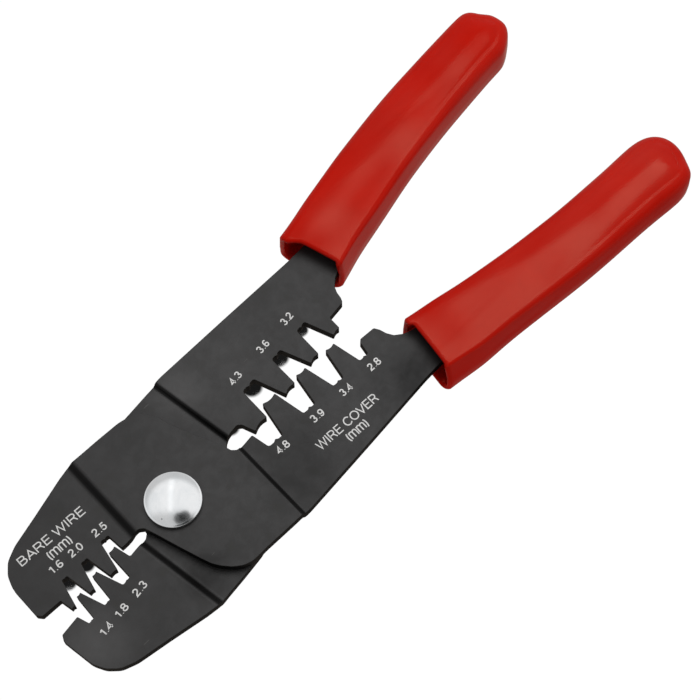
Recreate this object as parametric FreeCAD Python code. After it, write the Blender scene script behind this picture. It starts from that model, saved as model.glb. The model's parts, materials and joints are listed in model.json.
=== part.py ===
import FreeCAD, Part
import math
import os

# Open-barrel terminal crimping pliers: two joggled stamped-steel levers crossed
# on one domed rivet, with slip-on sleeve grips.  Millimetres.
#
# Frame: origin at the centre of the tool's overall box, Z = 0 on the common mid
# plane of the die plates, +X along the centre line towards the handles, +Z out
# of the larger rivet head.  Each lever is drawn closed about the rivet axis
# (dies meeting on y = 0), turned by half the opening angle, then moved so that
# the rivet sits at (PIVOT_X, PIVOT_Y).

Vector = FreeCAD.Vector
Z_AXIS = Vector(0, 0, 1)

# ---------------------------------------------------------------- dimensions
HALF_OPENING = 4.75         # degrees each lever is turned from the closed pose
PIVOT_X = -65.81
PIVOT_Y = -0.115

PLATE_T = 3.2               # stamped plate thickness
LAP_GAP = 0.06              # running gap between the two lapped bosses
JAW_RAMP = (-15.4, -12.2)   # x range of the joggle on the jaw side
GRIP_RAMP = (22.4, 24.6)    # x range of the joggle on the handle side
BOSS_INNER_Z = LAP_GAP / 2
BOSS_OUTER_Z = BOSS_INNER_Z + PLATE_T
JOGGLE_H = BOSS_INNER_Z + PLATE_T / 2

FLANK_GAP = 0.20            # gap between meshing die flanks when closed
HALF_GAP = FLANK_GAP / 2
STOP_GAP = 0.05             # bottom handle land and top jaw land, from y = 0
TOP_LAND_Y = 0.68           # handle-side stop land of the top lever
MAX_SETBACK = 0.46          # corner rounding, as a share of the shorter side

SHANK_R = 4.0               # press fit in the top lever
BOTTOM_BORE_R = 4.06        # running fit in the bottom lever
HEAD_R = 7.95
HEAD_RIM = 1.45             # straight rim under the dome
HEAD_DOME = 2.30            # dome height above the rim
TAIL_R = 7.20
TAIL_RIM = 0.50
TAIL_DOME = 1.50
TAIL_GAP = 0.04             # between the tail and the bottom boss
BRIDGE_H = 0.2              # short cylinder joining shank and tail

GRIP_H = 15.0               # sleeve height, across the plate
GRIP_EDGE_R = 4.6           # largest rounding tried on the sleeve's long edges
GRIP_EDGE_STEP = 0.4
GRIP_EDGE_MIN = 1.0
MOUTH_MAX_X = 84.0          # edges wholly below this x belong to the mouth
MOUTH_WALL = 2.0            # sleeve wall around the open mouth
MOUTH_DEPTH = 15.0          # depth of the hollow behind the mouth
MOUTH_OVERRUN = 2.0         # hollow cutter starts this far outside the mouth
HOLLOW_EDGE_R = 3.0


# ------------------------------------------------------------ rounded outline
def rounded_corner(before, corner, after, radius):
    """Start, middle and end of the corner arc; the middle is None if it is straight."""
    to_before, to_after = before - corner, after - corner
    shorter = min(to_before.Length, to_after.Length)
    to_before.normalize()
    to_after.normalize()
    angle = math.acos(max(-1.0, min(1.0, to_before.dot(to_after))))
    if angle > math.pi - 0.02:
        return corner, None, corner
    setback = min(radius / math.tan(angle / 2), MAX_SETBACK * shorter)
    radius = setback * math.tan(angle / 2)
    bisector = (to_before + to_after).normalize()
    middle = corner + bisector * (radius / math.sin(angle / 2) - radius)
    return corner + to_before * setback, middle, corner + to_after * setback


def rounded_wire(points):
    """Closed wire through (x, y, radius) corners."""
    corners = [Vector(x, y, 0) for x, y, _ in points]
    count = len(points)
    arcs = [rounded_corner(corners[i - 1], corners[i], corners[(i + 1) % count], points[i][2])
            for i in range(count)]
    edges = []
    for i, (start, middle, end) in enumerate(arcs):
        if middle is not None:
            edges.append(Part.Arc(start, middle, end).toShape())
        edges.append(Part.makeLine(end, arcs[(i + 1) % count][0]))
    return Part.Wire(edges)


# --------------------------------------------------- die edges, closed pose
# Die flanks: (x0, slope) of the lines x = x0 + slope * y.
HANDLE_FLANKS = [
    (28.67, -0.208), (35.80, 0.182), (42.49, -0.197), (48.44, 0.169),
    (54.02, -0.227), (59.53, 0.193), (64.83, -0.212), (69.25, 0.159)]
JAW_FLANKS = [
    (-39.75, -0.167), (-36.84, 0.213), (-33.585, -0.190), (-30.19, 0.226),
    (-26.49, -0.196), (-22.50, 0.171), (-18.60, -0.091)]


def flank_x(flank, y, offset):
    x0, slope = flank
    return x0 + slope * y + offset


def tooth(left, right, tip_y, hollow_y, radius):
    """Tooth narrowed by the flank gap: two corners at tip_y, a hollow between."""
    xa = flank_x(left, tip_y, HALF_GAP)
    xb = flank_x(right, tip_y, -HALF_GAP)
    width = xb - xa
    rise = tip_y - hollow_y
    return [(xa, tip_y, radius),
            (xa + width * 0.30, hollow_y + rise * 0.22, 1.2),
            (xa + width * 0.52, hollow_y, 1.8),
            (xa + width * 0.74, hollow_y + rise * 0.25, 1.2),
            (xb, tip_y, radius)]


def nest(left, right, floor_y, cusp, radius):
    """Nest widened by the flank gap: two lobes at floor_y, a low cusp between."""
    xa = flank_x(left, floor_y, -HALF_GAP)
    xb = flank_x(right, floor_y, HALF_GAP)
    width = xb - xa
    return [(xa, floor_y, radius),
            (xa + width * 0.36, floor_y, 0.5),
            (xa + width * 0.52, floor_y - cusp, 0.35),
            (xa + width * 0.68, floor_y, 0.5),
            (xb, floor_y, radius)]


def die_run(flanks, features):
    """Corners of the features lying between successive flanks."""
    points = []
    for left, right, (shape, *sizes) in zip(flanks, flanks[1:], features):
        points += shape(left, right, *sizes)
    return points


# Every edge runs towards +x, as (x, y, corner radius).  Feature rows are
# (tooth, tip y, hollow y, corner radius) or (nest, floor y, cusp, corner radius).

# top lever, handle side: material below the edge
top_die = [
    (20.3, 3.0, 2.0), (21.1, 0.3, 1.0), (22.4, -0.85, 1.0),
    (flank_x(HANDLE_FLANKS[0], 0.10, -HALF_GAP), 0.10, 0.5)]
top_die += die_run(HANDLE_FLANKS, [
    (nest, -5.60, -0.50, 0.9),
    (tooth, 5.05, 4.50, 0.30),
    (nest, -4.88, -0.45, 0.7),
    (tooth, 5.02, 4.52, 0.30),
    (nest, -4.53, -0.40, 0.6),
    (tooth, 4.95, 4.50, 0.28),
    (nest, -4.00, -0.30, 0.5)])
top_die += [
    (69.45, 0.02, 0.5), (70.15, TOP_LAND_Y, 0.6), (75.2, TOP_LAND_Y - 0.1, 0.8),
    (76.15, -1.0, 0.8), (76.75, -3.0, 1.0), (77.9, -4.9, 1.2), (80.2, -6.5, 3.0)]

# bottom lever, handle side: material above the edge
bottom_die = [
    (20.3, -3.0, 2.0), (21.4, -0.9, 1.5), (22.9, 0.35, 1.5), (25.2, 0.60, 2.0),
    (27.9, 0.60, 0.9), (flank_x(HANDLE_FLANKS[0], -0.45, HALF_GAP), -0.45, 0.6)]
bottom_die += die_run(HANDLE_FLANKS, [
    (tooth, -4.60, -4.00, 0.30),
    (nest, 5.55, 0.45, 0.8),
    (tooth, -4.50, -3.95, 0.30),
    (nest, 5.10, 0.40, 0.7),
    (tooth, -4.35, -3.85, 0.28),
    (nest, 4.95, 0.35, 0.6),
    (tooth, -4.15, -3.80, 0.28)])
bottom_die += [
    (69.25, -0.15, 0.3), (69.6, STOP_GAP, 0.3), (75.35, STOP_GAP, 0.8),
    (76.15, 1.3, 0.8), (76.75, 3.1, 1.0), (77.9, 4.9, 1.2), (80.2, 6.5, 3.0)]

# top lever, jaw side: material above the edge
top_jaw = [
    (-47.1, 1.35, 0.5), (-46.0, STOP_GAP, 0.6),
    (flank_x(JAW_FLANKS[0], 0.0, HALF_GAP) - 0.15, STOP_GAP, 0.25)]
top_jaw += die_run(JAW_FLANKS, [
    (tooth, -3.75, -3.55, 0.22),
    (nest, 4.10, 0.15, 0.45),
    (tooth, -3.75, -3.55, 0.22),
    (nest, 4.25, 0.18, 0.5),
    (tooth, -3.75, -3.50, 0.22),
    (nest, 5.25, 0.22, 0.6)])
top_jaw += [
    (flank_x(JAW_FLANKS[-1], 0.10, HALF_GAP), 0.10, 0.2), (-17.9, 0.08, 0.3),
    (-16.4, 0.15, 2.0), (-13.8, 0.50, 2.0), (-12.0, 0.46, 1.2), (-10.7, -0.5, 1.2)]

# bottom lever, jaw side: material below the edge
bottom_jaw = [
    (-47.1, -1.35, 0.5), (-46.0, 0.15, 0.6),
    (flank_x(JAW_FLANKS[0], 0.2, -HALF_GAP), 0.20, 0.3)]
bottom_jaw += die_run(JAW_FLANKS, [
    (nest, -3.45, -0.12, 0.4),
    (tooth, 3.95, 3.75, 0.22),
    (nest, -3.55, -0.15, 0.45),
    (tooth, 4.35, 4.13, 0.22),
    (nest, -3.80, -0.20, 0.55),
    (tooth, 5.00, 4.75, 0.25)])
bottom_jaw += [
    (flank_x(JAW_FLANKS[-1], -0.15, -HALF_GAP), -0.20, 0.5), (-16.4, -0.20, 2.0),
    (-13.6, -0.22, 2.0), (-12.2, 0.0, 1.2), (-10.7, 0.9, 1.2)]

# ------------------------------------ rest of the lever outline, both levers
# (x, y, corner radius), with the jaw at +y and the handle at -y.
# boss edge facing the jaws, from the jaw edge down to the handle back
BOSS_JAW_SIDE = [
    (-9.3, -4.5, 6.0), (-7.3, -10.7, 10.0), (-5.1, -17.2, 8.0), (-4.0, -20.1, 5.0),
    (-2.5, -22.4, 5.0), (-0.6, -24.5, 5.0), (1.7, -26.25, 5.0), (4.6, -27.2, 6.0)]
HANDLE_BACK = [
    (10.0, -26.9, 8.0), (20.0, -26.75, 20.0), (26.0, -26.55, 16.0),
    (50.0, -23.65, 60.0), (75.5, -20.42, 40.0), (83.0, -19.8, 15.0)]
# tang inside the sleeve: out along the back, round the end, back along the inside
TANG = [
    (100.0, -21.3, 60.0), (122.0, -23.4, 60.0), (142.0, -24.2, 60.0),
    (164.0, -23.9, 30.0), (169.0, -22.4, 3.0),
    (170.0, -19.5, 3.0), (169.0, -16.4, 3.0),
    (164.0, -15.2, 30.0), (142.0, -15.0, 60.0), (122.0, -13.7, 60.0),
    (100.0, -10.9, 60.0), (86.0, -8.0, 20.0)]
# boss edge facing the handles, from the die edge up to the jaw back
BOSS_HANDLE_SIDE = [
    (19.0, 5.7, 6.0), (17.3, 8.9, 6.0), (15.6, 13.0, 8.0), (13.95, 17.4, 8.0),
    (12.95, 20.6, 6.0), (11.6, 23.4, 4.0), (9.9, 25.6, 3.0), (7.6, 26.8, 4.0)]
JAW_BACK = [
    (3.5, 27.45, 8.0), (-4.0, 27.5, 20.0), (-10.5, 27.4, 20.0), (-14.8, 27.45, 6.0),
    (-18.5, 26.5, 10.0), (-30.0, 22.85, 60.0), (-39.3, 20.05, 12.0),
    (-43.4, 17.9, 5.0), (-45.9, 14.8, 5.0), (-47.1, 11.2, 6.0)]


def mirror_y(points):
    return [(x, -y, radius) for x, y, radius in points]


def lever_outline(die, jaw):
    return rounded_wire(jaw + BOSS_JAW_SIDE + HANDLE_BACK + TANG
                        + die[::-1] + BOSS_HANDLE_SIDE + JAW_BACK)


# -------------------------------------------------------------------- levers
SHEET_X = (-60.0, 190.0)    # joggled sheet, larger than the lever all round
SHEET_HALF_W = 45
PRISM_H = 12                # outline prism that trims the sheet
BORE_CUT_H = 20


def sheet_line(xa, za, xb, zb):
    return Part.makeLine(Vector(xa, 0, za), Vector(xb, 0, zb))


def s_curve(xa, za, xb, zb):
    """Two tangent arcs from (xa, za) to (xb, zb), level at both ends."""
    length, height = xb - xa, zb - za
    radius = (length ** 2 + height ** 2) / (4 * abs(height))
    sweep = math.asin(abs(length) / 2 / radius)
    dx = math.copysign(radius * math.sin(sweep / 2), length)
    dz = math.copysign(radius * (1 - math.cos(sweep / 2)), height)
    start, end = Vector(xa, 0, za), Vector(xb, 0, zb)
    middle = Vector((xa + xb) / 2, 0, (za + zb) / 2)
    step = Vector(dx, 0, dz)
    return [Part.Arc(start, start + step, middle).toShape(),
            Part.Arc(middle, end - step, end).toShape()]


def joggled_sheet():
    """Plate raised by JOGGLE_H over the boss, level with Z = 0 at both ends."""
    low, high = -PLATE_T / 2, PLATE_T / 2
    boss_low, boss_high = low + JOGGLE_H, high + JOGGLE_H
    x_start, x_end = SHEET_X
    jaw_a, jaw_b = JAW_RAMP
    grip_a, grip_b = GRIP_RAMP
    edges = [
        sheet_line(x_start, low, jaw_a, low),
        *s_curve(jaw_a, low, jaw_b, boss_low),
        sheet_line(jaw_b, boss_low, grip_a, boss_low),
        *s_curve(grip_a, boss_low, grip_b, low),
        sheet_line(grip_b, low, x_end, low),
        sheet_line(x_end, low, x_end, high),
        sheet_line(x_end, high, grip_b, high),
        *s_curve(grip_b, high, grip_a, boss_high),
        sheet_line(grip_a, boss_high, jaw_b, boss_high),
        *s_curve(jaw_b, boss_high, jaw_a, high),
        sheet_line(jaw_a, high, x_start, high),
        sheet_line(x_start, high, x_start, low)]
    sheet = Part.Face(Part.Wire(edges)).extrude(Vector(0, 2 * SHEET_HALF_W, 0))
    sheet.translate(Vector(0, -SHEET_HALF_W, 0))
    return sheet


def make_lever(die, jaw, bore_r):
    prism = Part.Face(lever_outline(die, jaw)).extrude(Vector(0, 0, PRISM_H))
    prism.translate(Vector(0, 0, -PRISM_H / 2))
    lever = joggled_sheet().common(prism).Solids[0]
    bore = Part.makeCylinder(bore_r, BORE_CUT_H, Vector(0, 0, -BORE_CUT_H / 2), Z_AXIS)
    return lever.cut(bore).Solids[0]


# ------------------------------------------------------------------- sleeves
# Plan outlines (x, y) on a handle at negative y: from the mouth's outer corner
# along the back, round the tip, to the mouth's inner corner.
TOP_SLEEVE = [
    (79.2, -25.9), (85.0, -26.4), (92.0, -27.08), (100.0, -27.23), (110.0, -27.65),
    (120.0, -28.29), (130.0, -28.89), (140.0, -29.18), (150.0, -29.23), (160.0, -29.35),
    (167.0, -29.65), (172.3, -29.6), (176.9, -28.3), (179.2, -25.3), (180.2, -21.8),
    (180.5, -18.0), (179.7, -14.1), (177.0, -10.9), (172.5, -9.2), (167.0, -8.92),
    (160.0, -9.13), (150.0, -9.26), (140.0, -9.3), (130.0, -9.0), (120.0, -8.44),
    (110.0, -7.57), (100.0, -6.47), (92.0, -5.32), (86.0, -4.63), (81.9, -4.1)]
BOTTOM_SLEEVE = [
    (79.2, -26.25), (85.0, -26.77), (92.0, -27.7), (100.0, -28.52), (110.0, -29.5),
    (120.0, -30.13), (130.0, -30.62), (140.0, -30.82), (150.0, -30.7), (160.0, -30.46),
    (167.0, -30.2), (170.8, -29.95), (174.1, -29.25), (176.0, -27.7), (177.2, -25.2),
    (178.5, -22.3), (179.0, -19.3), (178.6, -16.2), (176.6, -13.5), (173.6, -11.8),
    (170.3, -11.0), (167.0, -10.94), (160.0, -11.1), (150.0, -11.13), (140.0, -11.03),
    (130.0, -10.62), (120.0, -9.93), (110.0, -8.82), (100.0, -7.7), (92.0, -6.75),
    (86.0, -5.68), (81.9, -4.95)]


def is_level(edge):
    return edge.BoundBox.ZLength < 1e-6


def round_sleeve(body):
    """Round the long edges, leaving the mouth end flat."""
    long_edges = [edge for edge in body.Edges
                  if is_level(edge) and edge.BoundBox.XMax >= MOUTH_MAX_X]
    radius = GRIP_EDGE_R
    while radius > GRIP_EDGE_MIN:
        # the fillet may fail on the tight tip curve: try a smaller radius
        try:
            rounded = body.makeFillet(radius, long_edges)
            if rounded.isValid() and rounded.Solids:
                return rounded.Solids[0]
        except Exception:
            pass
        radius -= GRIP_EDGE_STEP
    return body


def mouth_hollow(outer, inner):
    """Cutter for the hollow behind the mouth line from outer to inner."""
    across = (inner - outer).normalize()
    inward = Vector(across.y, -across.x, 0)
    start_a = inner - across * MOUTH_WALL - inward * MOUTH_OVERRUN
    start_b = outer + across * MOUTH_WALL - inward * MOUTH_OVERRUN
    reach = inward * (MOUTH_DEPTH + MOUTH_OVERRUN)
    plan = Part.makePolygon([start_a, start_a + reach, start_b + reach, start_b, start_a])
    hollow = Part.Face(plan).extrude(Vector(0, 0, GRIP_H - 2 * MOUTH_WALL))
    hollow.translate(Vector(0, 0, -GRIP_H / 2 + MOUTH_WALL))
    long_edges = []
    for edge in hollow.Edges:
        direction = (edge.Vertexes[1].Point - edge.Vertexes[0].Point).normalize()
        if is_level(edge) and abs(direction.dot(inward)) > 0.99:
            long_edges.append(edge)
    # a failed fillet leaves the hollow square-edged
    try:
        return hollow.makeFillet(HOLLOW_EDGE_R, long_edges)
    except Exception:
        return hollow


def make_grip(outline, lever):
    """Sleeve with a hollow mouth, cut to fit over the lever's tang."""
    points = [Vector(x, y, 0) for x, y in outline]
    outer, inner = points[0], points[-1]
    curve = Part.BSplineCurve()
    curve.interpolate(points)
    wire = Part.Wire([curve.toShape(), Part.makeLine(inner, outer)])
    body = Part.Face(wire).extrude(Vector(0, 0, GRIP_H))
    body.translate(Vector(0, 0, -GRIP_H / 2))
    sleeve = round_sleeve(body).cut(mouth_hollow(outer, inner)).Solids[0]
    return max(sleeve.cut(lever).Solids, key=lambda solid: solid.Volume)


# -------------------------------------------------------------- pivot rivet
def dome(base_r, height, base_z, side):
    """Spherical cap on base_z, bulging towards +Z (side 1) or -Z (side -1)."""
    sphere_r = (base_r ** 2 + height ** 2) / (2 * height)
    sphere = Part.makeSphere(sphere_r, Vector(0, 0, base_z + side * (height - sphere_r)))
    size = 4 * sphere_r
    box_z = base_z if side > 0 else base_z - size
    return sphere.common(
        Part.makeBox(size, size, size, Vector(-size / 2, -size / 2, box_z)))


def make_rivet():
    tail_rim_z = -BOSS_OUTER_Z - TAIL_GAP - TAIL_RIM
    rivet = Part.makeCylinder(SHANK_R, 2 * BOSS_OUTER_Z, Vector(0, 0, -BOSS_OUTER_Z))
    for piece in (
            Part.makeCylinder(HEAD_R, HEAD_RIM, Vector(0, 0, BOSS_OUTER_Z)),
            dome(HEAD_R, HEAD_DOME, BOSS_OUTER_Z + HEAD_RIM, 1),
            Part.makeCylinder(TAIL_R, TAIL_RIM, Vector(0, 0, tail_rim_z)),
            Part.makeCylinder(SHANK_R, BRIDGE_H, Vector(0, 0, -BOSS_OUTER_Z - BRIDGE_H / 2)),
            dome(TAIL_R, TAIL_DOME, tail_rim_z, -1)):
        rivet = rivet.fuse(piece)
    rivet = rivet.removeSplitter().Solids[0]
    rivet.translate(Vector(PIVOT_X, PIVOT_Y, 0))
    return rivet


# ------------------------------------------------------- place in rest pose
def place(shape, flipped):
    """Turn open about the rivet; bottom-lever pieces are flipped about X first."""
    placed = shape.copy()
    if flipped:
        placed.rotate(Vector(0, 0, 0), Vector(1, 0, 0), 180.0)
    placed.rotate(Vector(0, 0, 0), Z_AXIS, HALF_OPENING if flipped else -HALF_OPENING)
    placed.translate(Vector(PIVOT_X, PIVOT_Y, 0))
    return placed


top_lever = make_lever(top_die, top_jaw, SHANK_R)
bottom_lever = make_lever(mirror_y(bottom_die), mirror_y(bottom_jaw), BOTTOM_BORE_R)

parts = {
    "top_lever": place(top_lever, False),
    "bottom_lever": place(bottom_lever, True),
    "top_lever_grip": place(make_grip(TOP_SLEEVE, top_lever), False),
    "bottom_lever_grip": place(make_grip(BOTTOM_SLEEVE, bottom_lever), True),
    "pivot_rivet": make_rivet(),
}

os.makedirs("parts", exist_ok=True)
for name, shape in parts.items():
    shape.exportStep("parts/" + name + ".step")
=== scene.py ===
"""A hand tool for wire: two black steel levers on a nickel rivet, red vinyl sleeves
on the handles and wire sizes printed in off-white.

The tool lies flat in XY with its face up (+Z) and its handles towards +X. At rest the
top lever's handle is on the -Y side and the bottom lever's on the +Y side. Each lever's
parts are drawn in its closed-lever frame: millimetres, origin at the pivot, x along the
lever, handle at negative y for both sleeves (the bottom one is mirrored when placed).
"""
import bpy
import bmesh
import json
import math
import numpy as np
from mathutils import Matrix, Vector, noise

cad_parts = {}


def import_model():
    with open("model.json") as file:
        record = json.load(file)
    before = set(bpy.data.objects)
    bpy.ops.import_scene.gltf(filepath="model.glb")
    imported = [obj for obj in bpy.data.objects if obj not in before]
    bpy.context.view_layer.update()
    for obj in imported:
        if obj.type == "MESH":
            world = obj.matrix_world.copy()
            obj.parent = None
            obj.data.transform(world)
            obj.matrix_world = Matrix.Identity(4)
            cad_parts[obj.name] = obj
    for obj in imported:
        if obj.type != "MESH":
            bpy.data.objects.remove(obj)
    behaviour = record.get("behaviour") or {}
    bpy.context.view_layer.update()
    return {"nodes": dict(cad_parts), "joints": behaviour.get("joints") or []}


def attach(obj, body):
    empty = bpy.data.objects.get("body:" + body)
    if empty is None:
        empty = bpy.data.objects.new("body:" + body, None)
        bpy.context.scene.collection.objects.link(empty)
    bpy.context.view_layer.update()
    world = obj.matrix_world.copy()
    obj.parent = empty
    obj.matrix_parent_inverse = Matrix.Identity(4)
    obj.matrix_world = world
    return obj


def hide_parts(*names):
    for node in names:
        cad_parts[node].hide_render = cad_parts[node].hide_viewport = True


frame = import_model()
scene = bpy.context.scene
nodes = frame["nodes"]

MM = 0.001
PIVOT = Vector(frame["joints"][0]["pos_m"])
REST_ANGLE = 4.75                # degrees each lever is open at rest
HALF_PLATE = 1.6                 # mm, half the thickness of a lever's plate
FLOOR_Z = -7.5 * MM

# level axes of the view, used to place the camera, the lamp and the mirrored room
VIEW_RIGHT = Vector((0.670427, -0.741976, 0.0))
UPRIGHT = Vector((0.0, 0.0, 1.0))
VIEW_AHEAD = UPRIGHT.cross(VIEW_RIGHT)


def from_view(right, ahead, height):
    """Turn a vector given along the view's level axes into the scene's axes."""
    return VIEW_RIGHT * right + VIEW_AHEAD * ahead + UPRIGHT * height


def lever_frame(lever):
    """Matrix from the closed-lever frame (mm) to the scene, lever at rest."""
    angle = math.radians(-REST_ANGLE if lever == "top" else REST_ANGLE)
    return Matrix.Translation(PIVOT) @ Matrix.Rotation(angle, 4, "Z") @ Matrix.Scale(MM, 4)


# --------------------------------------------------------------- shader graphs
class Graph:
    """Builds one shader node tree; any input takes a socket or a plain value."""

    def __init__(self, owner, output_kind="ShaderNodeOutputMaterial"):
        owner.use_nodes = True
        self.owner = owner
        self.tree = owner.node_tree
        self.tree.nodes.clear()
        self.surface = self.new(output_kind).inputs["Surface"]

    def new(self, kind, inputs=None, **settings):
        node = self.tree.nodes.new(kind)
        for name, value in settings.items():
            setattr(node, name, value)
        for key, value in (inputs or {}).items():
            self.feed(node.inputs[key], value)
        return node

    def feed(self, socket, value):
        if isinstance(value, bpy.types.NodeSocket):
            self.tree.links.new(value, socket)
        else:
            socket.default_value = value

    def object_place(self):
        return self.new("ShaderNodeTexCoord").outputs["Object"]

    def mapping(self, vector, **inputs):
        return self.new("ShaderNodeMapping", {**inputs, "Vector": vector}).outputs["Vector"]

    def coord(self, scale=(1.0, 1.0, 1.0)):
        return self.mapping(self.object_place(), Scale=scale)

    def axis(self, vector, index):
        return self.new("ShaderNodeSeparateXYZ", {0: vector}).outputs[index]

    def vector_math(self, operation, a, b):
        node = self.new("ShaderNodeVectorMath", {0: a, 1: b}, operation=operation)
        return node.outputs["Value"]

    def noise(self, vector, scale, detail=2.0, roughness=0.5, distortion=0.0):
        return self.new("ShaderNodeTexNoise", {
            "Scale": scale, "Detail": detail, "Roughness": roughness,
            "Distortion": distortion, "Vector": vector}).outputs["Fac"]

    def linear(self, value, over, to, interpolation="LINEAR"):
        """Map the range `over` onto the range `to`."""
        return self.new("ShaderNodeMapRange", {
            "Value": value, "From Min": over[0], "From Max": over[1],
            "To Min": to[0], "To Max": to[1]}, interpolation_type=interpolation).outputs["Result"]

    def ramp(self, value, over, to):
        """As linear, with soft ends."""
        return self.linear(value, over, to, "SMOOTHSTEP")

    def math(self, operation, a, b=0.0):
        return self.new("ShaderNodeMath", {0: a, 1: b}, operation=operation).outputs[0]

    def add(self, a, b):
        return self.math("ADD", a, b)

    def minus(self, a, b):
        return self.math("SUBTRACT", a, b)

    def times(self, a, b):
        return self.math("MULTIPLY", a, b)

    def maximum(self, values):
        result = values[0]
        for value in values[1:]:
            result = self.math("MAXIMUM", result, value)
        return result

    def mix(self, factor, a, b):
        """Blend two colours; 6, 7 and output 2 are the Mix node's colour sockets."""
        return self.new("ShaderNodeMix", {0: factor, 6: a, 7: b}, data_type="RGBA").outputs[2]

    def mix_shader(self, factor, a, b):
        return self.new("ShaderNodeMixShader", {0: factor, 1: a, 2: b}).outputs[0]

    def bump(self, height, strength, distance, **normal):
        return self.new("ShaderNodeBump", {
            "Strength": strength, "Distance": distance, "Height": height,
            **normal}).outputs["Normal"]

    def principled(self, **inputs):
        """Finish the material with a principled shader and return the material."""
        named = {name.replace("_", " "): value for name, value in inputs.items()}
        self.feed(self.surface, self.new("ShaderNodeBsdfPrincipled", named).outputs[0])
        return self.owner


def material(name):
    return Graph(bpy.data.materials.new(name))


def rgb(*levels):
    """sRGB 0-255 to linear RGBA."""
    def linear(c):
        return c / 12.92 if c <= 0.04045 else ((c + 0.055) / 1.055) ** 2.4
    return (*(linear(level / 255.0) for level in levels), 1.0)


# ------------------------------------------------------------------- materials
# patches of painted shade and painted highlight, where the plates look darker or paler: x, y,
# radius (mm), grey level, strength
SHADE_AND_HIGHLIGHT_PATCHES = [
    (-41.0, 21.7, 13.0, 80, 0.75), (-25.0, 21.0, 20.0, 58, 0.50), (-107.0, -13.0, 14.0, 84, 0.75),
    (4.0, 17.5, 12.0, 46, 0.35), (6.0, -24.0, 17.0, 8, 0.85), (-75.6, -20.0, 11.0, 10, 0.70),
    (-72.0, 16.5, 9.0, 47, 0.40), (-36.0, -18.0, 19.0, 24, 0.55)]
MATT_BELOW = 30                  # painted-shade patches darker than this grey are also less glossy
# long scratches: angle in degrees, noise scale, noise level where they begin
SCRATCHES = [(35.0, 1260.0, 0.735), (-62.0, 980.0, 0.745)]

# patches of sheen on the vinyl: x, y, radius (mm), specular level
SHEEN_PATCHES = [
    (24.6, 24.9, 10.0, 0.190), (58.0, 24.6, 12.0, 0.185), (98.0, 34.6, 15.0, 0.030),
    (80.0, 34.4, 12.0, 0.070), (22.0, -15.5, 9.0, 0.035), (21.6, -23.3, 9.0, 0.070),
    (45.1, -34.0, 8.0, 0.190), (67.9, -32.5, 12.0, 0.220), (88.2, -30.9, 12.0, 0.200),
    (101.8, -31.2, 12.0, 0.270)]
SHEEN_Z = 6.0                    # mm


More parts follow.
